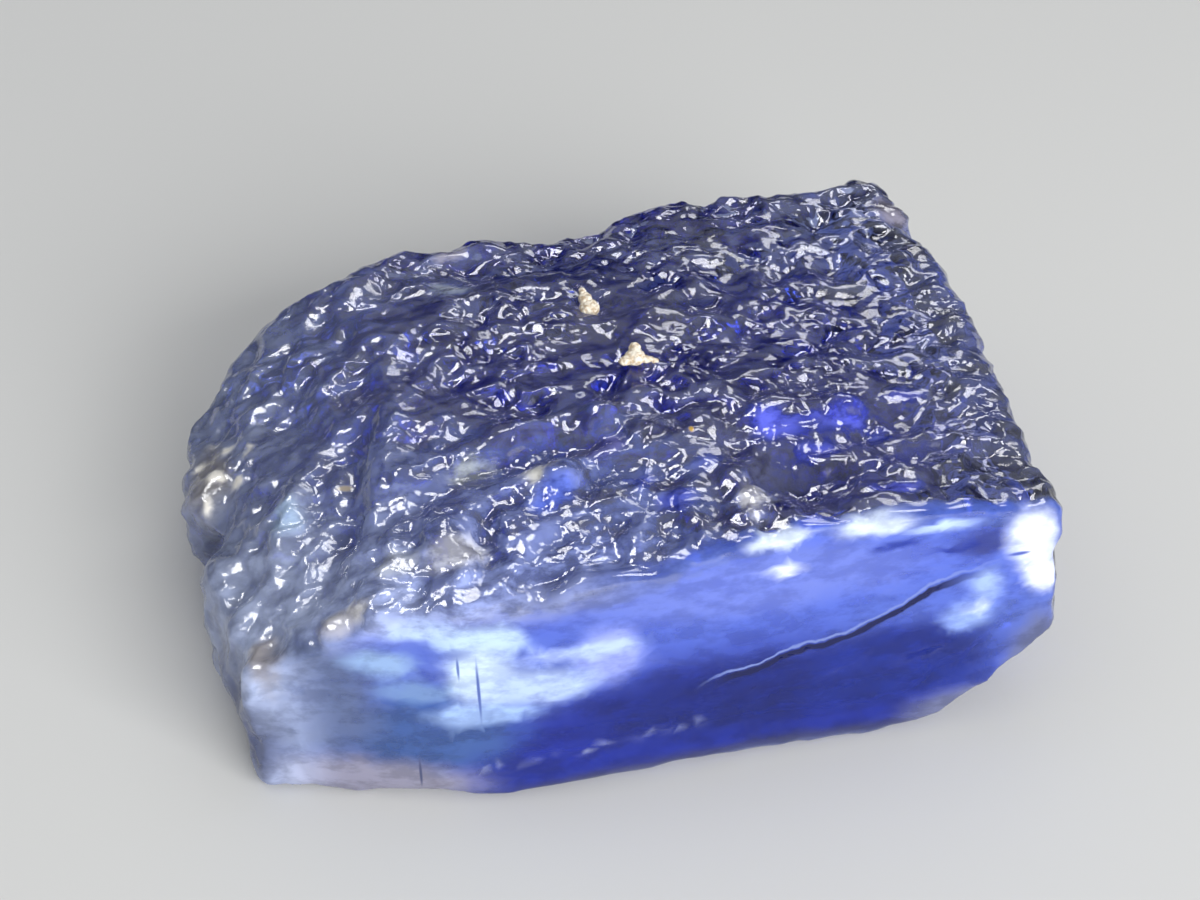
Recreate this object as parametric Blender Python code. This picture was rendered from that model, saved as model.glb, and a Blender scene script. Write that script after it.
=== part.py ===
"""A thumb-sized chip of blue halite: one block split off along rock salt's cubic cleavage.

The front is a clean cleavage face. The top, both ends and the back were dissolved by damp air or
brine into scoops with sharp crests between them, and the chip lies on a small flat spot.
Two crumbs of pale earth lie in the scoops of the top.

The frame is +X along the front face to the right, +Y to the back, +Z up. The origin is under the
middle of the chip's outer box, on the surface that it lies on.
"""

import math

import bmesh
import bpy
from mathutils import Matrix, Vector, noise
from mathutils.bvhtree import BVHTree

MM = 0.001

# Outer size of the block that the chip was split from.
LENGTH = 31.2 * MM
DEPTH = 24.8 * MM
HEIGHT = 8.7 * MM

# Net of the chip's surface: the spacing before relief, and the triangles that are left after it.
NET = 0.30 * MM
TRIANGLES = 9200

# The scoops that brine dissolved: how wide they are, and how deep below their crests.
WIDE_SCOOP = 2.1 * MM
WIDE_DEPTH = 0.52 * MM
SMALL_SCOOP = 1.15 * MM
SMALL_DEPTH = 0.34 * MM
SWELL = 6.0 * MM
SWELL_HEIGHT = 0.42 * MM

# How often every point is drawn to the middle of its neighbours, which rounds the crests.
MELT_PASSES = 1

# How much of that relief each kind of side shows: the cleavage face is nearly plain.
CLEAVAGE_SHARE = 0.05
UNDERSIDE_SHARE = 0.16

# The underside bulges a little, and the flat spot is where it's worn level.
UNDERSIDE_RISE = 0.45 * MM
FLAT_CUT = 0.12 * MM

# The cleavage face's low waves, and the ledge along the crack that runs across it.
WAVE_HEIGHT = 0.14 * MM
LEDGE = 0.13 * MM

HALITE_BLUE = (0.10, 0.15, 0.55, 1.0)
EARTH_BEIGE = (0.72, 0.60, 0.42, 1.0)


def at(x, y, z):
    """A place given in millimetres."""
    return Vector((x, y, z)) * MM


FRONT = Vector((0.03, -0.965, 0.26)).normalized()

# Every plane that the block broke or dissolved along: a point on it, and the way it faces.
BREAKS = (
    # The clean cleavage face in front, and its turned-under lower edge.
    (at(5.0, -12.12, 1.0), FRONT),
    (at(5.0, -12.12, 1.0), (0.03, -0.93, -0.37)),
    # The front's left third turns back to the corner.
    (at(-8.0, -11.62, 0.9), (-0.27, -0.93, 0.27)),
    (at(-5.1, -12.13, 1.0), (-0.12, -0.9475, 0.265)),
    (at(-8.0, -11.62, 0.9), (-0.25, -0.90, -0.36)),
    (at(-13.55, -9.75, 0.5), (-0.74, -0.62, 0.16)),
    # The left end, steep below and falling away above.
    (at(-13.95, -4.2, 2.6), (-0.985, -0.13, 0.10)),
    (at(-13.95, -4.2, 2.6), (-0.985, -0.13, -0.10)),
    (at(-14.55, 3.8, 2.4), (-0.99, 0.10, 0.06)),
    (at(-14.55, 3.8, 2.4), (-0.93, 0.05, -0.36)),
    (at(-8.4, 0.0, 7.1), (-0.45, -0.03, 0.89)),
    (at(-12.9, 6.85, 4.1), (-0.76, 0.60, 0.26)),
    (at(-9.7, 9.35, 6.1), (-0.40, 0.62, 0.68)),
    # The back, in two runs that meet at the left.
    (at(9.0, 11.75, 5.0), (0.02, 0.99, 0.08)),
    (at(9.0, 11.75, 3.0), (0.02, 0.94, -0.34)),
    (at(-6.0, 10.85, 5.0), (-0.18, 0.97, 0.12)),
    # The right end, upright above and chipped away below.
    (at(14.75, 0.0, 5.0), (0.997, -0.040, 0.02)),
    (at(11.55, 0.0, 0.45), (0.56, -0.06, -0.82)),
    (at(14.9, 10.9, 6.0), (0.80, 0.59, 0.10)),
    (at(14.35, -10.55, 5.0), (0.80, -0.60, 0.05)),
    # The top: highest along a crest by the front, falling to the right and to the left front.
    (at(4.2, -6.0, 8.25), (0.050, -0.01, 0.999)),
    (at(3.2, -6.5, 8.15), (-0.085, -0.070, 0.994)),
    (at(0.0, 4.0, 8.05), (-0.01, 0.035, 0.999)),
)

# Bites out of the block that planes can't give: centre, radii and how deep each reaches.
BITES = (
    # The notch between the left end's two bulges.
    (at(-14.2, -1.3, 1.6), at(3.2, 2.2, 5.5), 2.1 * MM),
    # The dip in the back edge.
    (at(1.2, 11.4, 7.4), at(4.4, 2.4, 3.2), 0.95 * MM),
)

# Broad hollows and swellings of the top, as dissolved: centre, half sizes, turn and height.
TOP_FORMS = (
    # The lip that stands along the front's upper rim.
    (at(4.6, -10.7, 0), (5.2, 1.1), 3, 0.34 * MM),
    # The dark pit beside the crest, and the crest's pale wedge.
    (at(5.9, -7.6, 0), (1.9, 1.1), 0, -0.85 * MM),
    (at(3.9, -7.4, 0), (0.75, 1.9), 18, 0.32 * MM),
    (at(2.9, -4.6, 0), (0.8, 1.7), 30, 0.22 * MM),
    # The trough under the ledge, with the lumps that stand on the ledge.
    (at(-2.6, -4.1, 0), (3.4, 0.75), 4, -0.60 * MM),
    (at(-0.1, -5.4, 0), (1.7, 1.0), -10, -0.62 * MM),
    (at(0.0, -2.7, 0), (0.75, 0.85), 0, 0.50 * MM),
    (at(1.3, -3.9, 0), (0.85, 0.7), 20, 0.50 * MM),
    (at(-3.0, -2.8, 0), (1.3, 0.6), 5, 0.42 * MM),
    (at(-2.2, -5.4, 0), (1.2, 0.8), 0, 0.50 * MM),
    # The lit lumps to the right of the crest.
    (at(6.4, -4.0, 0), (1.6, 1.0), -15, 0.48 * MM),
    (at(8.5, -3.9, 0), (0.9, 0.8), 0, 0.50 * MM),
    (at(10.2, -6.6, 0), (1.2, 0.8), 0, -0.50 * MM),
    # The dark hollows along the back.
    (at(-1.0, 8.6, 0), (4.2, 1.5), 6, -0.55 * MM),
    (at(8.2, 6.0, 0), (3.0, 1.1), -4, -0.40 * MM),
    (at(4.6, 2.6, 0), (2.4, 1.3), 0, 0.25 * MM),
    # Rills down the left slope.
    (at(-9.2, -4.2, 0), (0.7, 3.4), -24, -0.45 * MM),
    (at(-7.2, -6.2, 0), (0.6, 3.2), -20, -0.42 * MM),
    (at(-5.0, -7.6, 0), (0.6, 2.6), -12, -0.40 * MM),
    (at(-11.2, -3.0, 0), (0.8, 1.8), -20, 0.45 * MM),
    # The pale swelling of the left shoulder.
    (at(-6.2, -7.4, 0), (1.0, 1.2), 0, 0.40 * MM),
)

# The way that the rills run, which stretches the left slope's scoops.
RILL = Vector((-0.42, -0.90, -0.12)).normalized()

# The crack across the cleavage face, from left to right: how far along and how high.
CRACK = (
    (1.1, 3.05), (2.6, 3.6), (3.5, 3.65), (4.3, 4.0), (6.5, 4.3),
    (8.3, 4.9), (9.7, 5.55), (11.3, 5.9), (13.0, 6.25),
)

# The two crumbs of earth: where each lies, its half sizes and its turn.
CRUMBS = (
    ("earth_crumb_back", at(1.1, 4.7, 0), at(0.34, 0.58, 0.36), 12),
    ("earth_crumb_front", at(1.9, 0.0, 0), at(0.68, 0.40, 0.32), -22),
)
CRUMB_CLEARANCE = 0.03 * MM


def clear_scene():
    for old in list(bpy.data.objects):
        bpy.data.objects.remove(old, do_unlink=True)


def smooth_step(low, high, value):
    share = min(max((value - low) / (high - low), 0.0), 1.0)
    return share * share * (3 - 2 * share)


def material(name, colour, roughness):
    made = bpy.data.materials.new(name)
    made.use_nodes = True
    shader = made.node_tree.nodes["Principled BSDF"]
    shader.inputs["Base Color"].default_value = colour
    shader.inputs["Roughness"].default_value = roughness
    shader.inputs["Metallic"].default_value = 0.0
    made.diffuse_color = colour
    return made


def add_object(name, mesh, finish):
    mesh.materials.clear()
    mesh.materials.append(finish)
    made = bpy.data.objects.new(name, mesh)
    bpy.context.scene.collection.objects.link(made)
    return made


def split_block():
    """The block as cleaved: a box with each break's outer side split off."""
    block = bmesh.new()
    bmesh.ops.create_cube(block, size=1.0)
    bmesh.ops.scale(block, vec=(LENGTH, DEPTH, HEIGHT), verts=block.verts)
    bmesh.ops.translate(block, vec=(0, 0, HEIGHT / 2 - FLAT_CUT), verts=block.verts)
    for point, facing in BREAKS:
        everything = block.verts[:] + block.edges[:] + block.faces[:]
        cut = bmesh.ops.bisect_plane(
            block,
            geom=everything,
            plane_co=point,
            plane_no=Vector(facing).normalized(),
            clear_outer=True,
        )
        rim = [g for g in cut["geom_cut"] if isinstance(g, bmesh.types.BMEdge)]
        if rim:
            bmesh.ops.holes_fill(block, edges=rim)
    mesh = bpy.data.meshes.new("block")
    block.to_mesh(mesh)
    block.free()
    return mesh


def evaluated_mesh(owner):
    """What the object's modifiers make of it, as a mesh of its own."""
    graph = bpy.context.evaluated_depsgraph_get()
    return bpy.data.meshes.new_from_object(owner.evaluated_get(graph))


def netted(mesh):
    """The same shape with an even net of faces, close enough to carry the relief."""
    rough = bpy.data.objects.new("rough block", mesh)
    bpy.context.scene.collection.objects.link(rough)
    remesh = rough.modifiers.new("net", "REMESH")
    remesh.mode = "VOXEL"
    remesh.voxel_size = NET
    made = evaluated_mesh(rough)
    bpy.data.objects.remove(rough)
    return made


def wander(spot):
    """A gentle push to and fro in all three directions, the same at the same spot."""
    return Vector([noise.noise(spot + 17.3 * axis) for axis in Matrix.Identity(3)])


def scoop_depth(place, width, seed):
    """0 on the crests between scoops, and down to -1 in the middle of each one."""
    warp = wander(place / (1.6 * width) + seed)
    spot = place / width + 0.45 * warp + seed
    distances = noise.voronoi(spot, distance_metric="DISTANCE")[0]
    crest = distances[1] - distances[0]
    return -smooth_step(0.0, 0.75, crest)


def scoops(place, width, seed):
    """Round scoops, which turn into long ones on the left slope."""
    long_share = 1 - smooth_step(-8.0 * MM, -4.0 * MM, place.x)
    stretched = place - RILL * (0.5 * place.dot(RILL))
    depth = 0.0
    if long_share < 1:
        depth += (1 - long_share) * scoop_depth(place, width, seed)
    if long_share > 0:
        depth += long_share * scoop_depth(stretched, width, seed)
    return depth


def swell(place):
    return noise.fractal(place / SWELL + Vector((3.1, 7.7, 1.3)), 0.8, 2.1, 3)


def top_form(place):
    """The broad hollows and swellings of the top at this place."""
    height = 0.0
    for centre, (half_x, half_y), turn, rise in TOP_FORMS:
        angle = math.radians(turn)
        away = place - centre
        along = away.x * math.cos(angle) + away.y * math.sin(angle)
        across = away.y * math.cos(angle) - away.x * math.sin(angle)
        reach = math.hypot(along / (half_x * MM), across / (half_y * MM))
        height += rise * (1 - smooth_step(0.35, 1.25, reach))
    return height


def crack_height(x):
    """How high the crack is at this distance along the face, both in millimetres."""
    for (x0, z0), (x1, z1) in zip(CRACK, CRACK[1:]):
        if x0 <= x <= x1:
            return z0 + (z1 - z0) * (x - x0) / (x1 - x0)
    return CRACK[0][1] if x < CRACK[0][0] else CRACK[-1][1]


def front_form(place):
    """The cleavage face's low waves and the ledge under its crack."""
    x, z = place.x / MM, place.z / MM
    height = WAVE_HEIGHT * noise.noise(Vector((x / 5.5, 2.0, z / 2.2)))
    along = smooth_step(0.5, 3.5, x) * (1 - smooth_step(11.0, 13.5, x))
    below = 1 - smooth_step(-0.30, 0.05, z - crack_height(x))
    fading = smooth_step(-3.6, -0.6, z - crack_height(x))
    return height - LEDGE * along * below * fading


def belly(place):
    """How far the underside curves up at this distance from its middle."""
    reach = math.hypot((place.x + 1.0 * MM) / (13.5 * MM), (place.y + 0.5 * MM) / (11.0 * MM))
    reach += 0.22 * noise.noise(place / (4.5 * MM)) + 0.08 * noise.noise(place / (1.5 * MM))
    return UNDERSIDE_RISE * smooth_step(0.45, 1.1, reach)


def bite_depth(place):
    depth = 0.0
    for centre, radii, deepest in BITES:
        away = place - centre
        reach = math.sqrt(sum((away[k] / radii[k]) ** 2 for k in range(3)))
        depth += deepest * (1 - smooth_step(0.0, 1.0, reach))
    return depth


def cleaved(facing):
    """1 on the cleavage face and on its rounded lower edge, and 0 on what was dissolved."""
    return smooth_step(0.78, 0.92, -facing.y)


def relief_share(facing):
    """How strongly a side that faces this way was dissolved."""
    share = 1.0 + (CLEAVAGE_SHARE - 1.0) * cleaved(facing)
    under = smooth_step(0.88, 0.97, -facing.z)
    return share * (1.0 + (UNDERSIDE_SHARE - 1.0) * under)


def dissolve(mesh):
    """Moves every point of the net in or out, as brine ate the salt away."""
    moves = []
    for vertex in mesh.vertices:
        place = vertex.co.copy()
        facing = vertex.normal.copy()
        share = relief_share(facing)
        height = WIDE_DEPTH * (scoops(place, WIDE_SCOOP, Vector((0, 0, 0))) + 0.45)
        height += SMALL_DEPTH * (scoops(place, SMALL_SCOOP, Vector((5, 9, 2))) + 0.45)
        height += SWELL_HEIGHT * swell(place)
        height = share * height - bite_depth(place)
        height += cleaved(facing) * front_form(place)
        upward = smooth_step(0.55, 0.85, facing.z) * top_form(place)
        upward += smooth_step(0.35, 0.75, -facing.z) * belly(place)
        moves.append(facing * height + Vector((0, 0, upward)))
    for vertex, move in zip(mesh.vertices, moves):
        vertex.co += move
    melted = bmesh.new()
    melted.from_mesh(mesh)
    for _ in range(MELT_PASSES):
        bmesh.ops.smooth_vert(melted, verts=melted.verts, factor=0.5,
                              use_axis_x=True, use_axis_y=True, use_axis_z=True)
    melted.to_mesh(mesh)
    melted.free()


def fewer_faces(mesh, wanted):
    """The same surface with its faces spent where it bends most."""
    dense = bpy.data.objects.new("dense chip", mesh)
    bpy.context.scene.collection.objects.link(dense)
    triangles = sum(len(face.vertices) - 2 for face in mesh.polygons)
    thin = dense.modifiers.new("fewer faces", "DECIMATE")
    thin.ratio = wanted / triangles
    made = evaluated_mesh(dense)
    bpy.data.objects.remove(dense)
    return made


def largest_body(chip):
    """The faces of the largest body, found by the edges that they share."""
    left = set(chip.faces)
    bodies = []
    while left:
        body = [left.pop()]
        for face in body:
            for edge in face.edges:
                for other in edge.link_faces:
                    if other in left:
                        left.remove(other)
                        body.append(other)
        bodies.append(body)
    return set(max(bodies, key=len))


def worn_level(mesh, level):
    """Cuts the underside off flat at this height, which leaves the spot that the chip lies on."""
    chip = bmesh.new()
    chip.from_mesh(mesh)
    cut = bmesh.ops.bisect_plane(
        chip,
        geom=chip.verts[:] + chip.edges[:] + chip.faces[:],
        plane_co=(0, 0, level),
        plane_no=(0, 0, -1),
        clear_outer=True,
    )
    rim = [g for g in cut["geom_cut"] if isinstance(g, bmesh.types.BMEdge)]
    bmesh.ops.holes_fill(chip, edges=rim)
    bmesh.ops.triangulate(chip, faces=chip.faces)
    kept = largest_body(chip)
    slivers = [face for face in chip.faces if face not in kept]
    bmesh.ops.delete(chip, geom=slivers, context="FACES")
    bmesh.ops.recalc_face_normals(chip, faces=chip.faces)
    chip.to_mesh(mesh)
    chip.free()


def box_of(mesh):
    places = [v.co for v in mesh.vertices]
    low = Vector([min(p[k] for p in places) for k in range(3)])
    high = Vector([max(p[k] for p in places) for k in range(3)])
    return low, high


def make_crystal():
    mesh = netted(split_block())
    dissolve(mesh)
    mesh = fewer_faces(mesh, TRIANGLES)
    worn_level(mesh, FLAT_CUT)
    low, high = box_of(mesh)
    shift = Vector((-(low.x + high.x) / 2, -(low.y + high.y) / 2, -low.z))
    for vertex in mesh.vertices:
        vertex.co += shift
    mesh.shade_smooth()
    mesh.set_sharp_from_angle(angle=math.radians(35))
    crystal = add_object("halite_crystal", mesh, material("halite", HALITE_BLUE, 0.12))
    return crystal, shift


def make_crumb(name, place, half, turn, ground, finish):
    """A knobbly crumb, lying just clear of the highest crystal under it."""
    crumb = bmesh.new()
    bmesh.ops.create_icosphere(crumb, subdivisions=2, radius=1.0)
    angle = math.radians(turn)
    for vertex in crumb.verts:
        knob = 1 + 0.34 * noise.noise(vertex.co * 1.7 + place / MM)
        x, y, z = (vertex.co[k] * half[k] * knob for k in range(3))
        z = max(z, -0.55 * half.z)
        vertex.co = Vector((
            place.x + x * math.cos(angle) - y * math.sin(angle),
            place.y + x * math.sin(angle) + y * math.cos(angle),
            z,
        ))
    lift = -math.inf
    for vertex in crumb.verts:
        above = Vector((vertex.co.x, vertex.co.y, HEIGHT * 2))
        hit = ground.ray_cast(above, Vector((0, 0, -1)))[0]
        lift = max(lift, hit.z - vertex.co.z)
    bmesh.ops.translate(crumb, vec=(0, 0, lift + CRUMB_CLEARANCE), verts=crumb.verts)
    mesh = bpy.data.meshes.new(name)
    crumb.to_mesh(mesh)
    crumb.free()
    add_object(name, mesh, finish)


def main():
    clear_scene()
    crystal, shift = make_crystal()
    ground = BVHTree.FromObject(crystal, bpy.context.evaluated_depsgraph_get())
    earth = material("pale earth", EARTH_BEIGE, 0.9)
    flat_shift = Vector((shift.x, shift.y, 0))
    for name, place, half, turn in CRUMBS:
        make_crumb(name, place + flat_shift, half, turn, ground, earth)


main()
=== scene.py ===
import math

import bpy
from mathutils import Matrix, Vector


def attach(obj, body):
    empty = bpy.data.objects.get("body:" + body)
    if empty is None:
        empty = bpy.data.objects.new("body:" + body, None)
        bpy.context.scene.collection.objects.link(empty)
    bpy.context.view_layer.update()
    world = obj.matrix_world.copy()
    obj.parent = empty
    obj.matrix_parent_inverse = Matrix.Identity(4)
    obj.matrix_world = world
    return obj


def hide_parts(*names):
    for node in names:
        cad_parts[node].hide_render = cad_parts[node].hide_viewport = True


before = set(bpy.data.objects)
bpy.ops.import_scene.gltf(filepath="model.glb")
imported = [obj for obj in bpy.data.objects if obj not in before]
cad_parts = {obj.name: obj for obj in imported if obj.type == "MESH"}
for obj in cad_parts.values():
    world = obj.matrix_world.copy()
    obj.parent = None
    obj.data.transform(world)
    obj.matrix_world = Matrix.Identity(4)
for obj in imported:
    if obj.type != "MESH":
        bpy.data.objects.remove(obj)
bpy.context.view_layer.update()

MM = 0.001


# The halite crystal. One clear chip of rock salt, coloured blue all through, that split along its
# cubic cleavage. The front is the fresh cleavage face, smooth as glass, with one crack across it.
# Brine ate the top, the ends and the back into small scoops that meet in crests, made bright by the glint
# lamps and by a painted highlight along them.
def plain_copy(node, name):
    """A copy of a CAD solid with its loose triangles merged, alone selected."""
    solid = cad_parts[node]
    bpy.ops.object.select_all(action="DESELECT")
    made = bpy.data.objects.new(name, solid.data.copy())
    bpy.context.scene.collection.objects.link(made)
    made.select_set(True)
    bpy.context.view_layer.objects.active = made
    bpy.ops.object.mode_set(mode="EDIT")
    bpy.ops.mesh.select_all(action="SELECT")
    bpy.ops.mesh.remove_doubles(threshold=0.0005 * MM)
    bpy.ops.object.mode_set(mode="OBJECT")
    made.data.materials.clear()
    return made


def with_modifier(piece, kind, **settings):
    """Adds a modifier to the active piece and applies it."""
    added = piece.modifiers.new(kind.lower(), kind)
    for name, value in settings.items():
        setattr(added, name, value)
    bpy.ops.object.modifier_apply(modifier=added.name)


def first_enabled(sockets, name=None):
    """The first socket in use, of this name if one is given."""
    return next(s for s in sockets if s.enabled and name in (None, s.name))


def add_node(tree, kind, links=None, **settings):
    """Adds a node with its settings, and sets its inputs or links them to other nodes."""
    made = tree.nodes.new(kind)
    for name, value in settings.items():
        setattr(made, name, value)
    for socket, value in (links or {}).items():
        entry = made.inputs[socket] if isinstance(socket, int) else first_enabled(made.inputs, socket)
        if isinstance(value, bpy.types.Node):
            value = first_enabled(value.outputs)
        if isinstance(value, bpy.types.NodeSocket):
            tree.links.new(value, entry)
        else:
            entry.default_value = value
    return made


# The cleavage face's planes: a point on each in millimetres, and the way it faces.
CLEAVAGE = (
    (Vector((4.60, -12.19, 0.88)), Vector((0.03, -0.965, 0.26)).normalized()),
    (Vector((-5.50, -12.20, 0.88)), Vector((-0.12, -0.9475, 0.265)).normalized()),
    (Vector((-8.40, -11.69, 0.78)), Vector((-0.27, -0.93, 0.27)).normalized()),
)


def reach_to_front(tree, place):
    """How far a place is from the cleavage face, in millimetres: 0 on it, and less behind it."""
    nearest = -99.0
    for point, facing in CLEAVAGE:
        along = add_node(tree, "ShaderNodeVectorMath", {0: place, 1: facing}, operation="DOT_PRODUCT")
        reach = add_node(tree, "ShaderNodeMath", {0: along, 1: point.dot(facing)}, operation="SUBTRACT")
        nearest = add_node(tree, "ShaderNodeMath", {0: nearest, 1: reach}, operation="MAXIMUM")
    return nearest


def cleaved(tree, place):
    """1 on the cleavage face and 0 behind it. The change is soft towards the left end."""
    axes = add_node(tree, "ShaderNodeSeparateXYZ", {0: place})
    leftward = add_node(tree, "ShaderNodeMapRange",
                        {"Value": axes.outputs["X"], "From Min": 0.5, "From Max": -5.0},
                        interpolation_type="SMOOTHSTEP")
    start = add_node(tree, "ShaderNodeMapRange", {"Value": leftward, "To Min": -0.55, "To Max": -1.5})
    face = add_node(tree, "ShaderNodeMapRange",
                    {"Value": reach_to_front(tree, place), "From Min": start, "From Max": -0.22},
                    interpolation_type="SMOOTHSTEP")
    # On the left the scoops reach down over the rim, as far as a line that falls to the corner.
    line = add_node(tree, "ShaderNodeMath", {0: axes.outputs["X"], 1: -0.20, 2: axes.outputs["Z"]},
                    operation="MULTIPLY_ADD")
    over = add_node(tree, "ShaderNodeMapRange", {"Value": line, "From Min": 7.0, "From Max": 8.6},
                    interpolation_type="SMOOTHSTEP")
    over = add_node(tree, "ShaderNodeMath", {0: over, 1: leftward}, operation="MULTIPLY")
    corner = add_node(tree, "ShaderNodeMapRange",
                      {"Value": axes.outputs["X"], "From Min": -10.6, "From Max": -13.4, "To Max": 0.85},
                      interpolation_type="SMOOTHSTEP")
    rough = add_node(tree, "ShaderNodeMath", {0: over, 1: corner}, operation="MAXIMUM")
    smooth = add_node(tree, "ShaderNodeMath", {0: 1.0, 1: rough}, operation="SUBTRACT")
    return add_node(tree, "ShaderNodeMath", {0: face, 1: smooth}, operation="MULTIPLY")


# The crack across the cleavage face, in millimetres: how far along and how high. It fades in over
# its first stretch and out over its last one. A curve node goes from 0 to 1, which here is TALL.
CRACK = (
    (0.7, 2.93), (2.2, 3.48), (3.1, 3.53), (3.9, 3.88), (6.1, 4.18),
    (7.9, 4.78), (9.3, 5.43), (10.9, 5.78), (12.6, 6.13),
)
FADE_IN, FADE_OUT = 1.6, 3.5
TALL = 10.0


def above_crack(tree, axes):
    """How far above the crack a place is, in millimetres, and 1 where the crack runs."""
    start, end = CRACK[0][0], CRACK[-1][0]
    along = add_node(tree, "ShaderNodeMapRange",
                     {"Value": axes.outputs["X"], "From Min": start, "From Max": end})
    course = add_node(tree, "ShaderNodeFloatCurve", {"Value": along})
    curve = course.mapping.curves[0]
    for k, (x, z) in enumerate(CRACK):
        spot = ((x - start) / (end - start), z / TALL)
        if k in (0, len(CRACK) - 1):
            curve.points[0 if k == 0 else -1].location = spot
        else:
            curve.points.new(*spot)
    course.mapping.update()
    offset = add_node(tree, "ShaderNodeMath", {0: course, 1: -TALL, 2: axes.outputs["Z"]},
                      operation="MULTIPLY_ADD")
    begin = add_node(tree, "ShaderNodeMapRange",
                     {"Value": axes.outputs["X"], "From Min": start, "From Max": start + FADE_IN},
                     interpolation_type="SMOOTHSTEP")
    finish = add_node(tree, "ShaderNodeMapRange",
                      {"Value": axes.outputs["X"], "From Min": end, "From Max": end - FADE_OUT},
                      interpolation_type="SMOOTHSTEP")
    runs = add_node(tree, "ShaderNodeMath", {0: begin, 1: finish}, operation="MULTIPLY")
    return offset, runs


def wandering(tree, place, per_mm, far):
    """The place, moved to and fro by up to half of far, so that a pattern gets ragged edges."""
    drift = add_node(tree, "ShaderNodeTexNoise", {"Vector": place, "Scale": per_mm, "Detail": 4.0})
    moved = add_node(tree, "ShaderNodeVectorMath", {0: drift.outputs["Color"], 1: far, 2: place},
                     operation="MULTIPLY_ADD")
    return add_node(tree, "ShaderNodeVectorMath", {0: moved, 1: [f / 2 for f in far]}, operation="SUBTRACT")


def blot(tree, spot, centre, radii, hard):
    """A soft spot of these radii in millimetres: 1 within the hard share of them, 0 outside them."""
    away = add_node(tree, "ShaderNodeVectorMath", {0: spot, 1: centre}, operation="SUBTRACT")
    away = add_node(tree, "ShaderNodeVectorMath", {0: away, 1: radii}, operation="DIVIDE")
    away = add_node(tree, "ShaderNodeVectorMath", {0: away}, operation="LENGTH")
    return add_node(tree, "ShaderNodeMapRange", {"Value": away, "From Min": 1.0, "From Max": hard},
                    interpolation_type="SMOOTHSTEP")


def painted(tree, spot, spots, share, tint, hard=0.3):
    """Lays soft spots over a milkiness and its tint, each with a share and a tint of its own."""
    for centre, radii, hex_colour, amount in spots:
        inside = blot(tree, spot, centre, radii, hard)
        share = add_node(tree, "ShaderNodeMix", {"Factor": inside, "A": share, "B": amount})
        tint = add_node(tree, "ShaderNodeMix", {"Factor": inside, "A": tint, "B": linear(hex_colour)},
                        data_type="RGBA")
    return share, tint


def linear(hex_colour):
    """A six-figure sRGB colour as the linear one that shaders take."""
    parts = [int(hex_colour[k:k + 2], 16) / 255 for k in (0, 2, 4)]
    return tuple(c / 12.92 if c <= 0.04045 else ((c + 0.055) / 1.055) ** 2.4 for c in parts) + (1.0,)


def new_group(name):
    """A Geometry Nodes group, its geometry going in, and the place of each point in millimetres."""
    group = bpy.data.node_groups.new(name, "GeometryNodeTree")
    group.interface.new_socket("Geometry", in_out="INPUT", socket_type="NodeSocketGeometry")
    group.interface.new_socket("Geometry", in_out="OUTPUT", socket_type="NodeSocketGeometry")
    place = add_node(group, "ShaderNodeVectorMath",
                     {0: add_node(group, "GeometryNodeInputPosition"), "Scale": 1 / MM}, operation="SCALE")
    return group, add_node(group, "NodeGroupInput"), place


FINE = 0.095 * MM
MELTING_ROUNDS = 14
MOST_FACES = 190_000

crystal = plain_copy("halite_crystal", "crystal")
with_modifier(crystal, "REMESH", mode="VOXEL", voxel_size=FINE)
etching, uncut, place = new_group("etching")
axes = add_node(etching, "ShaderNodeSeparateXYZ", {0: place})
front = cleaved(etching, place)
dissolved = add_node(etching, "ShaderNodeMath", {0: 1.0, 1: front}, operation="SUBTRACT")
above = add_node(etching, "ShaderNodeMapRange",
                 {"Value": axes.outputs["Z"], "From Min": 0.05, "From Max": 0.6})
share = add_node(etching, "ShaderNodeMath", {0: dissolved, 1: above}, operation="MULTIPLY")

# The faceted solid is melted first, and then three sizes of scoops are eaten into it: how many lie
# on a millimetre, how rounded their crests are, how deep they go in millimetres, and in patches of
# which size they are how much shallower. SUNKEN keeps the crests inside the solid's box.
SUNKEN = -0.22
SCOOPS = (
    (0.55, 0.10, 0.20, 0.20, 0.8),
    (1.10, 0.07, 0.31, 0.24, 0.35),
    (2.20, 0.10, 0.10, 0.40, 0.20),
)
melted = add_node(etching, "GeometryNodeBlurAttribute",
                  {"Value": add_node(etching, "GeometryNodeInputPosition"), "Iterations": MELTING_ROUNDS,
                   "Weight": 1.0}, data_type="FLOAT_VECTOR")
softer = add_node(etching, "GeometryNodeSetPosition", {"Geometry": uncut, "Position": melted})
warp = add_node(etching, "ShaderNodeTexNoise", {"Vector": place, "Scale": 0.8, "Detail": 1.0})
bent = add_node(etching, "ShaderNodeVectorMath", {0: warp.outputs["Color"], 1: (1.5, 1.5, 1.5), 2: place},
                operation="MULTIPLY_ADD")
bent = add_node(etching, "ShaderNodeVectorMath", {0: bent, 1: (0.85, 1.1, 1.15)}, operation="MULTIPLY")
relief = SUNKEN
# The crests of the scoops, where a painted highlight goes.
crest_highlight = 0.0
for per_mm, softness, depth, patches_per_mm, least in SCOOPS:
    cell = add_node(etching, "ShaderNodeTexVoronoi",
                    {"Vector": bent, "Scale": per_mm, "Smoothness": softness}, feature="SMOOTH_F1")
    patches = add_node(etching, "ShaderNodeTexNoise",
                       {"Vector": place, "Scale": patches_per_mm, "Detail": 1.0})
    patches = add_node(etching, "ShaderNodeMapRange",
                       {"Value": patches, "From Min": 0.38, "From Max": 0.62,
                        "To Min": least * depth, "To Max": depth})
    relief = add_node(etching, "ShaderNodeMath", {0: cell, 1: patches, 2: relief}, operation="MULTIPLY_ADD")
    edge = add_node(etching, "ShaderNodeMapRange", {"Value": cell, "From Min": 0.52, "From Max": 0.74})
    crest_highlight = add_node(etching, "ShaderNodeMath", {0: crest_highlight, 1: edge}, operation="MAXIMUM")
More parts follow.
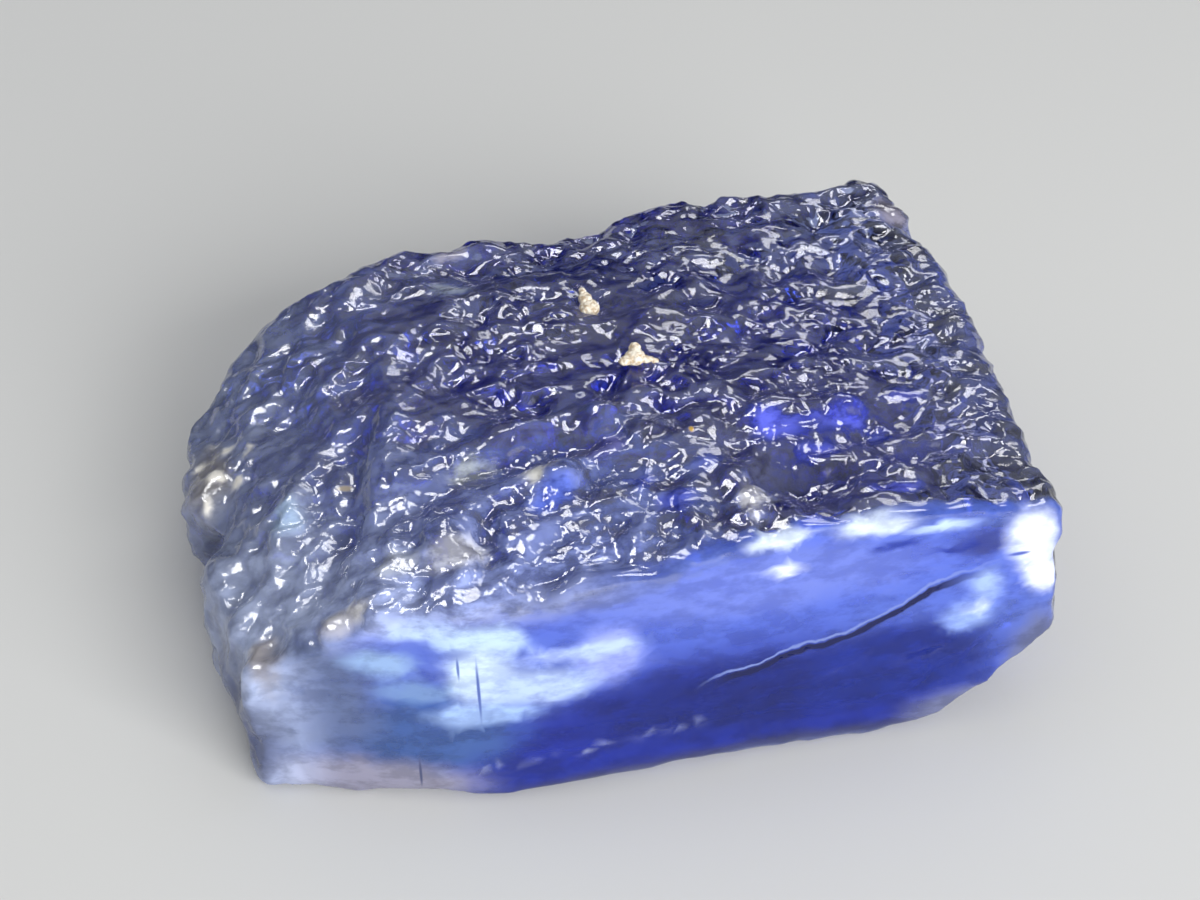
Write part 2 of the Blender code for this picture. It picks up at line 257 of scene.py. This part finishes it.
rough = add_node(etching, "ShaderNodeMath", {0: relief, 1: share}, operation="MULTIPLY")
crest_highlight = add_node(etching, "ShaderNodeMath", {0: crest_highlight, 1: share}, operation="MULTIPLY")

# The cleavage face has low steps along its length, and the crack is a narrow groove in it that
# wanders by up to half of RAGGED. All these are in millimetres.
STEP_HEIGHT = 0.08
GROOVE_DEPTH, GROOVE_HALF = 0.05, 0.15
RAGGED = 0.34
steps = add_node(etching, "ShaderNodeVectorMath", {0: bent, 1: (0.30, 1.0, 2.2)}, operation="MULTIPLY")
steps = add_node(etching, "ShaderNodeTexNoise", {"Vector": steps, "Scale": 0.7, "Detail": 2.0})
steps = add_node(etching, "ShaderNodeMath", {0: steps, 1: 0.5}, operation="SUBTRACT")
offset, runs = above_crack(etching, axes)
ragged = add_node(etching, "ShaderNodeTexNoise", {"Vector": place, "Scale": 1.6, "Detail": 2.0})
offset = add_node(etching, "ShaderNodeMath", {0: ragged, 1: RAGGED, 2: offset}, operation="MULTIPLY_ADD")
offset = add_node(etching, "ShaderNodeMath", {0: offset, 1: RAGGED / 2}, operation="SUBTRACT")
offset = add_node(etching, "ShaderNodeMath", {0: offset}, operation="ABSOLUTE")
groove = add_node(etching, "ShaderNodeMapRange",
                  {"Value": offset, "From Min": GROOVE_HALF, "From Max": 0.0, "To Max": -GROOVE_DEPTH},
                  interpolation_type="SMOOTHSTEP")
groove = add_node(etching, "ShaderNodeMath", {0: groove, 1: runs}, operation="MULTIPLY")
plain = add_node(etching, "ShaderNodeMath", {0: steps, 1: STEP_HEIGHT, 2: groove}, operation="MULTIPLY_ADD")
plain = add_node(etching, "ShaderNodeMath", {0: plain, 1: front}, operation="MULTIPLY")
height = add_node(etching, "ShaderNodeMath", {0: rough, 1: plain}, operation="ADD")
height = add_node(etching, "ShaderNodeMath", {0: height, 1: MM}, operation="MULTIPLY")
push = add_node(etching, "ShaderNodeVectorMath",
                {0: add_node(etching, "GeometryNodeInputNormal"), "Scale": height}, operation="SCALE")
etched = add_node(etching, "GeometryNodeSetPosition", {"Geometry": softer, "Offset": push})

# How milky the etched skin is, and with what tint: most at the left end and down the front slope.
# The spots, each a place and radii in millimetres, a tint and a share, are violet-blue patches on
# lumps, a painted glow of light that comes up from the front; pale margins and frosted places;
# near-white patches on the top and the front slope, partly crazed salt and partly painted
# highlight; and white dots on the left end, which are painted glints.
ETCHED_SPOTS = (
    ((14.0, -1.0, 6.0), (2.6, 9.5, 5.5), "8088bc", 0.32),
    # A weak painted glow of blue over the front right of the top.
    ((8.0, -5.5, 8.0), (7.0, 4.5, 5), "6470d8", 0.15),
    ((1.5, 3.0, 8.2), (6.0, 3.2, 5), "878ba6", 0.12),
    # Lumps with a painted violet-blue glow, where light comes up from the front.
    ((5.4, -4.6, 8.4), (1.3, 1.0, 5), "6c76f4", 0.52),
    ((7.7, -4.5, 8.1), (1.5, 0.9, 5), "6c76f4", 0.52),
    ((9.0, -5.2, 7.9), (0.9, 0.6, 5), "7480f4", 0.50),
    ((6.6, -6.0, 8.1), (0.9, 0.7, 5), "5c66d8", 0.50),
    ((10.6, -3.4, 8.0), (1.0, 0.7, 5), "5c64c8", 0.42),
    ((0.2, -6.2, 8.2), (0.9, 0.8, 5), "5f70e4", 0.50),
    ((8.4, -8.6, 8.0), (1.3, 0.7, 5), "6c76f4", 0.60),
    ((-3.0, -6.5, 8.1), (1.3, 0.8, 5), "7088f6", 0.50),
    ((-0.5, -4.3, 8.0), (1.0, 0.8, 5), "7c7ccc", 0.50),
    ((1.2, -7.7, 8.1), (1.0, 0.8, 5), "5c6ce4", 0.50),
    ((2.4, -6.1, 8.3), (0.9, 0.7, 5), "7684dc", 0.45),
    # Near-white patches: partly crazed salt, partly painted highlight.
    ((3.5, -8.4, 8.4), (0.6, 1.5, 5), "dcdce4", 0.85),
    ((-3.1, -5.4, 8.4), (0.8, 0.5, 5), "e2e1dc", 0.85),
    ((-5.3, -4.1, 7.6), (1.1, 0.6, 5), "b4bcc4", 0.60),
    ((-6.4, -8.1, 7.6), (1.5, 1.0, 5), "d2d4e0", 0.70),
    ((-8.3, -7.5, 7.0), (1.0, 0.8, 5), "c0c8dc", 0.60),
    ((-10.3, -9.1, 5.9), (1.1, 0.6, 5), "e0dedc", 0.70),
    # Frosted places and pale margins, the salt's own.
    ((-11.6, -3.3, 6.1), (0.9, 1.3, 5), "b4ccec", 0.66),
    ((-14.2, 1.4, 4.6), (1.3, 2.6, 3), "a9a7a8", 0.50),
    ((-4.2, 7.0, 8.0), (1.4, 0.9, 5), "c4d0dc", 0.50),
    ((-3.8, 9.7, 7.8), (1.2, 0.8, 5), "a8a6b8", 0.55),
    ((14.2, 8.8, 8.0), (1.3, 1.6, 5), "a4a0b4", 0.45),
    ((-13.0, -8.6, 4.0), (0.9, 1.2, 2.6), "ccc6c6", 0.65),
    ((13.2, -10.6, 2.2), (1.8, 2.4, 2.2), "8c93be", 0.50),
    ((10.4, -11.4, 0.6), (3.2, 2.0, 1.0), "8c93be", 0.50),
    ((-13.8, -8.5, 1.8), (2.4, 4.5, 2.4), "747e9e", 0.42),
    # White dots on the left end: painted glints.
    *(((x, y, z), (0.42, 0.42, 0.5), "f2eee6", 0.95) for x, y, z in (
        (-14.5, 2.4, 4.3), (-13.9, 1.1, 4.8), (-13.3, 0.4, 5.0), (-12.6, 1.5, 5.6),
        (-14.2, -0.1, 4.4), (-13.2, 2.3, 5.1), (-14.6, 1.1, 3.9), (-13.9, 3.2, 4.9),
    )),
)
spot = wandering(etching, place, 0.45, (3.0, 3.0, 2.0))
axes = add_node(etching, "ShaderNodeSeparateXYZ", {0: spot})
leftward = add_node(etching, "ShaderNodeMapRange",
                    {"Value": axes.outputs["X"], "From Min": -3.0, "From Max": -14.0},
                    interpolation_type="SMOOTHSTEP")
forward = add_node(etching, "ShaderNodeMapRange",
                   {"Value": axes.outputs["Y"], "From Min": 0.5, "From Max": -8.5},
                   interpolation_type="SMOOTHSTEP")
sideways = add_node(etching, "ShaderNodeMapRange",
                    {"Value": axes.outputs["X"], "From Min": 5.0, "From Max": -3.5},
                    interpolation_type="SMOOTHSTEP")
slope = add_node(etching, "ShaderNodeMath", {0: forward, 1: sideways}, operation="MULTIPLY")
shoulder = add_node(etching, "ShaderNodeMapRange",
                    {"Value": reach_to_front(etching, place), "From Min": -2.4, "From Max": -0.4},
                    interpolation_type="SMOOTHSTEP")
shoulder = add_node(etching, "ShaderNodeMath", {0: shoulder, 1: sideways}, operation="MULTIPLY")
milk_and_painted_light = add_node(etching, "ShaderNodeMath", {0: leftward, 1: 0.27, 2: 0.010}, operation="MULTIPLY_ADD")
milk_and_painted_light = add_node(etching, "ShaderNodeMath", {0: slope, 1: 0.34, 2: milk_and_painted_light}, operation="MULTIPLY_ADD")
milk_and_painted_light = add_node(etching, "ShaderNodeMath", {0: shoulder, 1: 0.22, 2: milk_and_painted_light}, operation="MULTIPLY_ADD")
# Painted highlight: the crests are made milkier, and so paler.
milk_and_painted_light = add_node(etching, "ShaderNodeMath", {0: crest_highlight, 1: 0.10, 2: milk_and_painted_light}, operation="MULTIPLY_ADD")
tint = add_node(etching, "ShaderNodeMix",
                {"Factor": leftward, "A": linear("98a8ea"), "B": linear("b0bcdc")}, data_type="RGBA")
low = add_node(etching, "ShaderNodeMapRange",
               {"Value": axes.outputs["Z"], "From Min": 2.2, "From Max": 0.4, "To Max": 0.07},
               interpolation_type="SMOOTHSTEP")
milk_and_painted_light = add_node(etching, "ShaderNodeMath", {0: milk_and_painted_light, 1: low}, operation="ADD")
small = wandering(etching, place, 0.8, (1.5, 1.5, 1.5))
milk_and_painted_light, tint = painted(etching, small, ETCHED_SPOTS, milk_and_painted_light, tint)

# The cleavage face looks like blue smoke behind glass: deep blue below and paler above, the paler
# part being painted light that stands in for light coming in through the top; grey at the left end
# and along the lower edge; white veils at the left; white under the rim and at the right, which is
# painted highlight where the rim catches light; and a row of fine specks low down. Its spots say
# how far along and how high, and two radii.
FACE_SPOTS = (
    ((2.0, 1.4), (14.0, 4.2), "2038bc", 0.36),
    ((2.4, 2.7), (7.0, 1.7), "122a92", 0.38),
    ((8.0, 2.9), (4.4, 1.8), "1634a6", 0.38),
    ((-8.3, 2.6), (4.2, 1.8), "4a6cb2", 0.50),
    ((-11.9, 3.8), (3.2, 3.4), "6c7ca8", 0.52),
    # Paler above: painted light, as if coming in through the top.
    ((3.0, 6.7), (8.0, 1.5), "8296ee", 0.46),
    ((-7.5, 7.3), (7.5, 1.3), "a0a8ca", 0.50),
    ((2.5, 0.2), (11.0, 1.0), "30387a", 0.50),
    ((-10.2, 0.7), (5.0, 1.3), "a19fb6", 0.58),
    ((10.6, 0.9), (3.2, 1.0), "70769e", 0.66),
    ((13.3, 2.6), (1.7, 2.0), "666e98", 0.66),
    ((-1.9, 5.0), (1.5, 1.3), "a4b2ff", 0.60),
    ((-9.3, 5.0), (1.6, 0.6), "9cbcea", 0.62),
    ((-8.2, 4.1), (2.0, 0.5), "84a6de", 0.52),
    ((-8.0, 6.2), (1.5, 0.5), "c0daff", 0.74),
    ((-6.1, 5.9), (2.2, 0.6), "c2dcff", 0.72),
    ((-6.1, 4.6), (1.6, 1.3), "cfe4ff", 0.74),
    ((-4.4, 4.2), (2.7, 0.8), "bcd2ff", 0.68),
    ((-2.8, 5.2), (2.8, 0.4), "b2c6ff", 0.78),
    ((-6.2, 3.3), (2.4, 0.5), "a6c4f8", 0.72),
    ((10.9, 6.8), (1.2, 0.8), "4654a4", 0.42),
    # White at the right rim: painted highlight.
    ((12.8, 6.6), (1.3, 1.4), "eaf2ff", 0.90),
    ((13.2, 5.4), (0.9, 1.0), "e6eeff", 0.86),
    ((11.2, 5.2), (0.8, 0.9), "a8c2ff", 0.64),
    ((10.6, 4.2), (1.4, 0.7), "9cb8ff", 0.62),
    ((10.9, 4.4), (0.6, 0.3), "d0e0ff", 0.80),
    # White under the rim: painted highlight.
    ((7.2, 8.0), (1.9, 0.5), "d4e2ff", 0.80),
    ((9.6, 7.6), (1.6, 0.3), "b6ccff", 0.80),
    ((3.9, 8.0), (1.4, 0.4), "dae8ff", 0.86),
    ((4.1, 6.9), (1.0, 0.26), "ecf4ff", 0.92),
    ((7.9, 7.1), (1.3, 0.18), "2a44b0", 0.34),
    ((9.9, 6.7), (1.1, 0.16), "2a44b0", 0.34),
    *(((-7.8 + 0.5 * k, 1.2 + 0.04 * k + 0.08 * (k % 3)), (0.13, 0.07), "aab4e0", 0.6)
      for k in range(18)),
)
face_spots = [((x, -11, z), (wide, 99, high), hex_colour, amount)
              for (x, z), (wide, high), hex_colour, amount in FACE_SPOTS]
streaky = wandering(etching, place, 0.9, (1.3, 0.0, 0.55))
streaky = wandering(etching, streaky, 2.6, (0.6, 0.0, 0.35))
face_milk_and_painted_light, face_tint = painted(etching, streaky, face_spots, 0.42, linear("6b86f2"), hard=0.45)
milk_and_painted_light = add_node(etching, "ShaderNodeMix", {"Factor": front, "A": milk_and_painted_light, "B": face_milk_and_painted_light})
tint = add_node(etching, "ShaderNodeMix", {"Factor": front, "A": tint, "B": face_tint}, data_type="RGBA")
for name, kind, value in (
    ("cleaved", "FLOAT", front), ("leftward", "FLOAT", leftward), ("milky_and_painted_light", "FLOAT", milk_and_painted_light),
    ("tint", "FLOAT_VECTOR", tint),
):
    etched = add_node(etching, "GeometryNodeStoreNamedAttribute",
                      {"Geometry": etched, "Name": name, "Value": value}, data_type=kind, domain="POINT")
add_node(etching, "NodeGroupOutput", {0: etched})
with_modifier(crystal, "NODES", node_group=etching)
faces = sum(len(face.vertices) - 2 for face in crystal.data.polygons)
with_modifier(crystal, "DECIMATE", ratio=MOST_FACES / faces)
bpy.ops.object.shade_smooth()


def place_in_mm(tree):
    """The place on the piece in millimetres."""
    place = add_node(tree, "ShaderNodeTexCoord").outputs["Object"]
    return add_node(tree, "ShaderNodeVectorMath", {0: place, "Scale": 1 / MM}, operation="SCALE")


# Rock salt, cleaved and brine-etched: clear as glass, blue from colour centres all through. Where
# tiny brine bubbles crowd under the skin it is milky, and frosted where the salt is crazed; its
# milky colour also carries painted glow, painted highlights and painted shade.
halite = bpy.data.materials.new("blue halite, cleaved and brine-etched")
halite.use_nodes = True
tree = halite.node_tree
shader = tree.nodes["Principled BSDF"]
shader.inputs["IOR"].default_value = 1.544
absorption = add_node(tree, "ShaderNodeVolumeAbsorption",
                      {"Color": (0.04, 0.19, 0.70, 1.0), "Density": 320.0})
tree.links.new(absorption.outputs[0], tree.nodes["Material Output"].inputs["Volume"])

place = place_in_mm(tree)
front = add_node(tree, "ShaderNodeAttribute", attribute_name="cleaved").outputs["Fac"]
leftward = add_node(tree, "ShaderNodeAttribute", attribute_name="leftward").outputs["Fac"]
milk_and_painted_light = add_node(tree, "ShaderNodeAttribute", attribute_name="milky_and_painted_light").outputs["Fac"]
tint = add_node(tree, "ShaderNodeAttribute", attribute_name="tint").outputs["Color"]

# The milk is flecked, with flecks about a millimetre across that lie along the crystal. They are
# strongest on clear salt, and weak at the left end and on the cleavage face, which look even.
grain = add_node(tree, "ShaderNodeVectorMath", {0: place, 1: (0.6, 1.0, 1.5)}, operation="MULTIPLY")
flecks = add_node(tree, "ShaderNodeTexNoise",
                  {"Vector": grain, "Scale": 1.1, "Detail": 4.0, "Roughness": 0.62})
most = add_node(tree, "ShaderNodeMath", {0: leftward, 1: -0.15, 2: 1.4}, operation="MULTIPLY_ADD")
most = add_node(tree, "ShaderNodeMix", {"Factor": front, "A": most, "B": 1.12})
least = add_node(tree, "ShaderNodeMath", {0: leftward, 1: 0.45, 2: 0.45}, operation="MULTIPLY_ADD")
least = add_node(tree, "ShaderNodeMix", {"Factor": front, "A": least, "B": 0.78})
spread = add_node(tree, "ShaderNodeMapRange",
                  {"Value": flecks, "From Min": 0.38, "From Max": 0.60, "To Min": least, "To Max": most},
                  interpolation_type="SMOOTHSTEP")
milk_and_painted_light = add_node(tree, "ShaderNodeMath", {0: milk_and_painted_light, 1: spread}, operation="MULTIPLY")

# The crack shows as a dark line, which is painted shade in it, with a painted highlight along its
# edge above it: where each lies on the groove, and half its width, in millimetres. Four fine
# scratches are dark marks of their own.
# Painted highlight, then painted shade.
CRACK_LINES = ((0.37, 0.07, "9cb2ff", 0.4), (0.11, 0.22, "060e44", 0.92))
axes = add_node(tree, "ShaderNodeSeparateXYZ", {0: place})
offset, runs = above_crack(tree, axes)
ragged = add_node(tree, "ShaderNodeTexNoise", {"Vector": place, "Scale": 1.6, "Detail": 2.0})
offset = add_node(tree, "ShaderNodeMath", {0: ragged, 1: RAGGED, 2: offset}, operation="MULTIPLY_ADD")
runs = add_node(tree, "ShaderNodeMath", {0: runs, 1: front}, operation="MULTIPLY")
for middle, half, hex_colour, amount in CRACK_LINES:
    line = add_node(tree, "ShaderNodeMath", {0: offset, 1: middle}, operation="SUBTRACT")
    line = add_node(tree, "ShaderNodeMath", {0: line}, operation="ABSOLUTE")
    line = add_node(tree, "ShaderNodeMapRange", {"Value": line, "From Min": half, "From Max": half * 0.4})
    line = add_node(tree, "ShaderNodeMath", {0: line, 1: runs}, operation="MULTIPLY")
    milk_and_painted_light = add_node(tree, "ShaderNodeMix", {"Factor": line, "A": milk_and_painted_light, "B": amount})
    tint = add_node(tree, "ShaderNodeMix", {"Factor": line, "A": tint, "B": linear(hex_colour)},
                    data_type="RGBA")
FINE_MARKS = (
    ((-6.9, -11, 4.95), (0.07, 9, 0.55), "6a80bc", 0.7),
    ((-6.3, -11, 4.1), (0.08, 9, 1.4), "5a70b4", 0.7),
    ((12.3, -11, 6.2), (0.60, 9, 0.09), "5868b8", 0.7),
    ((-8.4, -11, 1.2), (0.07, 9, 0.8), "545a80", 0.6),
)
milk_and_painted_light, tint = painted(tree, place, FINE_MARKS, milk_and_painted_light, tint)

# Grains of yellow clay and one tan streak stain the scoops.
STAINS = (
    ((2.4, -4.5, 8.5), (0.16, 0.20, 0.6), "c8a450", 0.9),
    ((-9.5, -2.7, 6.5), (0.50, 0.20, 0.9), "b8ac98", 0.8),
)
milk_and_painted_light, tint = painted(tree, place, STAINS, milk_and_painted_light, tint)
milk_and_painted_light = add_node(tree, "ShaderNodeMath", {0: milk_and_painted_light, 1: 1.0}, operation="MINIMUM", use_clamp=True)
tinted = add_node(tree, "ShaderNodeMath", {0: milk_and_painted_light, 1: 4.0}, operation="MULTIPLY", use_clamp=True)
colour = add_node(tree, "ShaderNodeMix", {"Factor": tinted, "A": linear("f4f8ff"), "B": tint},
                  data_type="RGBA")
tree.links.new(first_enabled(colour.outputs), shader.inputs["Base Color"])
clear = add_node(tree, "ShaderNodeMath", {0: 1.0, 1: milk_and_painted_light}, operation="SUBTRACT")
tree.links.new(clear.outputs[0], shader.inputs["Transmission Weight"])
matt = add_node(tree, "ShaderNodeMath", {0: leftward, 1: 0.06, 2: 0.10}, operation="MULTIPLY_ADD")
roughness = add_node(tree, "ShaderNodeMix", {"Factor": front, "A": matt, "B": 0.12})
tree.links.new(first_enabled(roughness.outputs), shader.inputs["Roughness"])

# Fine dimples, half a millimetre apart, lie between the scoops.
dimples = add_node(tree, "ShaderNodeTexNoise", {"Vector": place, "Scale": 2.0, "Detail": 1.0})
even = add_node(tree, "ShaderNodeMix", {"Factor": front, "A": dimples, "B": 0.5})
bump = add_node(tree, "ShaderNodeBump", {"Height": even, "Distance": 0.05 * MM, "Strength": 0.6})
tree.links.new(bump.outputs[0], shader.inputs["Normal"])
crystal.data.materials.append(halite)
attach(crystal, "root")
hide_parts("halite_crystal")


# The cloud: a healed cleavage crack behind the front face, full of brine bubbles, that throws the
# light back and makes the face glow blue. It is a thin closed sheet that follows the face.
def front_reach(spot):
    """How far a place in millimetres is from the cleavage face: 0 on it, and less behind it."""
    return max((spot - point).dot(facing) for point, facing in CLEAVAGE)


DEPTH = 1.3 * MM
WAVE = 0.6 * MM
THIN = 0.03 * MM
REACH_MM = 2.4
BEFORE_WAVES, AFTER_WAVES = 0.25 * MM, 0.22 * MM
cloud = plain_copy("halite_crystal", "cloud")
with_modifier(cloud, "REMESH", mode="VOXEL", voxel_size=BEFORE_WAVES)
with_modifier(cloud, "SMOOTH", factor=0.5, iterations=20)
waves = bpy.data.textures.new("waves of the cloud", "CLOUDS")
waves.noise_scale = 1.6 * MM
with_modifier(cloud, "DISPLACE", texture=waves, texture_coords="LOCAL", direction="NORMAL",
              strength=WAVE, mid_level=0.5 + DEPTH / WAVE)
with_modifier(cloud, "REMESH", mode="VOXEL", voxel_size=AFTER_WAVES)
with_modifier(cloud, "SMOOTH", factor=0.5, iterations=4)
bpy.ops.object.mode_set(mode="EDIT")
bpy.ops.mesh.select_mode(type="FACE")
bpy.ops.mesh.select_all(action="DESELECT")
bpy.ops.object.mode_set(mode="OBJECT")
for face in cloud.data.polygons:
    face.select = front_reach(face.center / MM) < -REACH_MM or face.normal.z > 0.6
bpy.ops.object.mode_set(mode="EDIT")
bpy.ops.mesh.delete(type="FACE")
bpy.ops.object.mode_set(mode="OBJECT")
with_modifier(cloud, "SOLIDIFY", thickness=THIN, offset=0.0)
bpy.ops.object.shade_smooth()

# Brine bubbles crowded in a plane and drawn out along the face: pale threads, half a millimetre to
# two millimetres apart, over a matt ground that is painted light blue above and dark below, as light
# coming in through the top would leave it, and grey at the left.
bubbles = bpy.data.materials.new("brine bubbles in a healed cleavage crack")
bubbles.use_nodes = True
tree = bubbles.node_tree
shader = tree.nodes["Principled BSDF"]
shader.inputs["Roughness"].default_value = 1.0
place = place_in_mm(tree)
axes = add_node(tree, "ShaderNodeSeparateXYZ", {0: place})
# Painted light and shade: the ground is lighter higher up.
height = add_node(tree, "ShaderNodeMapRange",
                  {"Value": axes.outputs["Z"], "From Min": 2.6, "From Max": 6.6},
                  interpolation_type="SMOOTHSTEP")
ground = add_node(tree, "ShaderNodeMix", {"Factor": height, "A": linear("1c3098"), "B": linear("7e98fa")},
                  data_type="RGBA")
greyer = add_node(tree, "ShaderNodeMapRange",
                  {"Value": axes.outputs["X"], "From Min": -6.0, "From Max": -11.0},
                  interpolation_type="SMOOTHSTEP")
ground = add_node(tree, "ShaderNodeMix", {"Factor": greyer, "A": ground, "B": linear("7d97c0")},
                  data_type="RGBA")
strands = add_node(tree, "ShaderNodeVectorMath", {0: place, 1: (0.55, 1.0, 2.0)}, operation="MULTIPLY")
strands = add_node(tree, "ShaderNodeTexNoise",
                   {"Vector": strands, "Scale": 1.1, "Detail": 4.0, "Roughness": 0.66})
threads = add_node(tree, "ShaderNodeMapRange",
                   {"Value": strands, "From Min": 0.48, "From Max": 0.68, "To Max": 0.7},
                   interpolation_type="SMOOTHSTEP")
colour = add_node(tree, "ShaderNodeMix", {"Factor": threads, "A": ground, "B": linear("b4c6ff")},
                  data_type="RGBA")
tree.links.new(first_enabled(colour.outputs), shader.inputs["Base Color"])
cloud.data.materials.append(bubbles)
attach(cloud, "root")


# The crumbs of earth: two grains of dry pale clay that stick to the top, one shaped like a drop, the
# other like a lump with a tail. They are crumbly all over, and sink a little into the wet-looking scoops.
CRUMBS = {
    "earth_crumb_back": (
        ((0.72, 4.42, 8.26), (0.40, 0.44, 0.30)),
        ((0.66, 4.80, 8.40), (0.27, 0.36, 0.25)),
        ((0.60, 5.14, 8.54), (0.13, 0.22, 0.15)),
    ),
    "earth_crumb_front": (
        ((1.44, -0.05, 8.82), (0.40, 0.38, 0.25)),
        ((1.08, -0.14, 8.78), (0.28, 0.22, 0.17)),
        ((1.52, 0.30, 9.00), (0.22, 0.24, 0.18)),
        ((1.84, -0.20, 8.78), (0.28, 0.16, 0.14)),
        ((2.12, -0.34, 8.74), (0.15, 0.11, 0.10)),
    ),
}
SUNK = 0.06 * MM
CRUMB_VOXEL = 0.03 * MM
ABOVE_ALL = 12 * MM

# Dry pale clay: matt, cream on its grains and darker in its pores, which are about 0.15 mm wide; the dark
# in the pores is painted shade that follows the bump.
clay = bpy.data.materials.new("dry pale clay, crumbled")
clay.use_nodes = True
tree = clay.node_tree
shader = tree.nodes["Principled BSDF"]
shader.inputs["Roughness"].default_value = 0.95
shader.inputs["Specular IOR Level"].default_value = 0.2
place = place_in_mm(tree)
pores = add_node(tree, "ShaderNodeTexNoise", {"Vector": place, "Scale": 7.0, "Detail": 3.0})
# Painted shade: darker where the bump dips, in the pores.
cream_and_pore_shade = add_node(tree, "ShaderNodeMapRange", {"Value": pores, "From Min": 0.38, "From Max": 0.60})
colour = add_node(tree, "ShaderNodeMix", {"Factor": cream_and_pore_shade, "A": linear("c2ac90"), "B": linear("f6eedd")},
                  data_type="RGBA")
tree.links.new(first_enabled(colour.outputs), shader.inputs["Base Color"])
grit = add_node(tree, "ShaderNodeBump", {"Height": pores, "Distance": 0.05 * MM})
tree.links.new(grit.outputs[0], shader.inputs["Normal"])

for node, lumps in CRUMBS.items():
    bpy.ops.object.select_all(action="DESELECT")
    balls = []
    for centre, radii in lumps:
        bpy.ops.mesh.primitive_ico_sphere_add(subdivisions=3, radius=MM, location=Vector(centre) * MM,
                                              scale=radii)
        balls.append(bpy.context.object)
    for ball in balls:
        ball.select_set(True)
    bpy.ops.object.join()
    crumb = bpy.context.object
    crumb.name = node.replace("earth_", "")
    bpy.ops.object.transform_apply(location=True, rotation=True, scale=True)
    with_modifier(crumb, "REMESH", mode="VOXEL", voxel_size=CRUMB_VOXEL)
    for size, strength in ((0.22, 0.10), (0.07, 0.035)):
        lumpy = bpy.data.textures.new("clay lumps", "CLOUDS")
        lumpy.noise_scale = size * MM
        with_modifier(crumb, "DISPLACE", texture=lumpy, texture_coords="LOCAL", strength=strength * MM)
    bpy.ops.object.shade_smooth()
    corners = [vertex.co for vertex in crumb.data.vertices]
    lowest = min(corner.z for corner in corners)
    middle = sum(corners, Vector()) / len(corners)
    ground = crystal.ray_cast(Vector((middle.x, middle.y, ABOVE_ALL)), Vector((0, 0, -1)))[1]
    bpy.ops.object.mode_set(mode="EDIT")
    bpy.ops.mesh.select_all(action="SELECT")
    bpy.ops.transform.translate(value=(0, 0, ground.z - SUNK - lowest))
    bpy.ops.object.mode_set(mode="OBJECT")
    crumb.data.materials.append(clay)
    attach(crumb, "root")
    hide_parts(node)


# The floor: one wide sheet of pale matt paper that the crystal lies on. It isn't part of the object,
# and lies a fiftieth of a millimetre below it, so that the two never share a plane.
bpy.ops.object.select_all(action="DESELECT")
bpy.ops.mesh.primitive_plane_add(size=3.0, location=(0, 0, -0.02 * MM))
floor = bpy.context.object
floor.name = "floor"
paper = bpy.data.materials.new("matt pale paper")
paper.use_nodes = True
paper.node_tree.nodes["Principled BSDF"].inputs["Base Color"].default_value = linear("d6d6d4")
paper.node_tree.nodes["Principled BSDF"].inputs["Roughness"].default_value = 0.9
floor.data.materials.append(paper)


# The lights: a wide one in front that lights the cleavage face without a glare on it, a wide one
# behind that the wet top mirrors as a grey sheen, small ones that only give the scoops their glints,
# and a pale room that lights all and is not mirrored. Sizes are in metres.
def softbox(name, azimuth, elevation, distance, size, radiance, lights=True, mirrored=True):
    """A lamp turned to the crystal, that lights matt surfaces, or shows in glossy ones, or both."""
    lamp = bpy.data.lights.new(name, "AREA")
    lamp.shape = "RECTANGLE"
    lamp.size, lamp.size_y = size
    lamp.energy = radiance * math.pi * size[0] * size[1]
    made = bpy.data.objects.new(name, lamp)
    made.visible_diffuse = lights
    made.visible_glossy = mirrored
    bpy.context.scene.collection.objects.link(made)
    a, e = math.radians(azimuth), math.radians(elevation)
    away = Vector((math.sin(a) * math.cos(e), -math.cos(a) * math.cos(e), math.sin(e)))
    made.location = away * distance + Vector((0, 0, 4 * MM))
    made.rotation_euler = away.to_track_quat("Z", "Y").to_euler()


softbox("front light", 22, 20, 0.35, (0.30, 0.20), 9.6, mirrored=False)
softbox("back light", 168, 46, 0.42, (0.46, 0.34), 0.27)
for number, (azimuth, elevation, radiance) in enumerate((
    (-115, 58, 20), (-165, 62, 13), (118, 66, 13), (150, 38, 6),
)):
    softbox(f"glint light {number + 1}", azimuth, elevation, 0.30, (0.08, 0.08), radiance, lights=False)
world = bpy.data.worlds.new("pale room")
bpy.context.scene.world = world
world.use_nodes = True
world.node_tree.nodes["Background"].inputs["Color"].default_value = (0.95, 0.97, 1.0, 1)
world.node_tree.nodes["Background"].inputs["Strength"].default_value = 0.50
world.cycles_visibility.glossy = False


# The camera, at the photograph's viewing angle: a few degrees to the left of the front, well above
# the floor, and close to the crystal.
AZIMUTH, ELEVATION = -12, 38
AIM = Vector((-0.40, -0.07, 3.38)) * MM
DISTANCE = 75 * MM
lens = bpy.data.cameras.new("camera")
lens.lens = 60
lens.sensor_width = 36
lens.shift_x, lens.shift_y = 0.0125, 0.025
lens.clip_start, lens.clip_end = 1 * MM, 10
camera = bpy.data.objects.new("camera", lens)
bpy.context.scene.collection.objects.link(camera)
turn, rise = math.radians(AZIMUTH), math.radians(ELEVATION)
back = Vector((math.sin(turn) * math.cos(rise), -math.cos(turn) * math.cos(rise), math.sin(rise)))
camera.location = AIM + back * DISTANCE
camera.rotation_euler = back.to_track_quat("Z", "Y").to_euler()
bpy.context.scene.camera = camera
bpy.context.scene.view_settings.view_transform = "Standard"
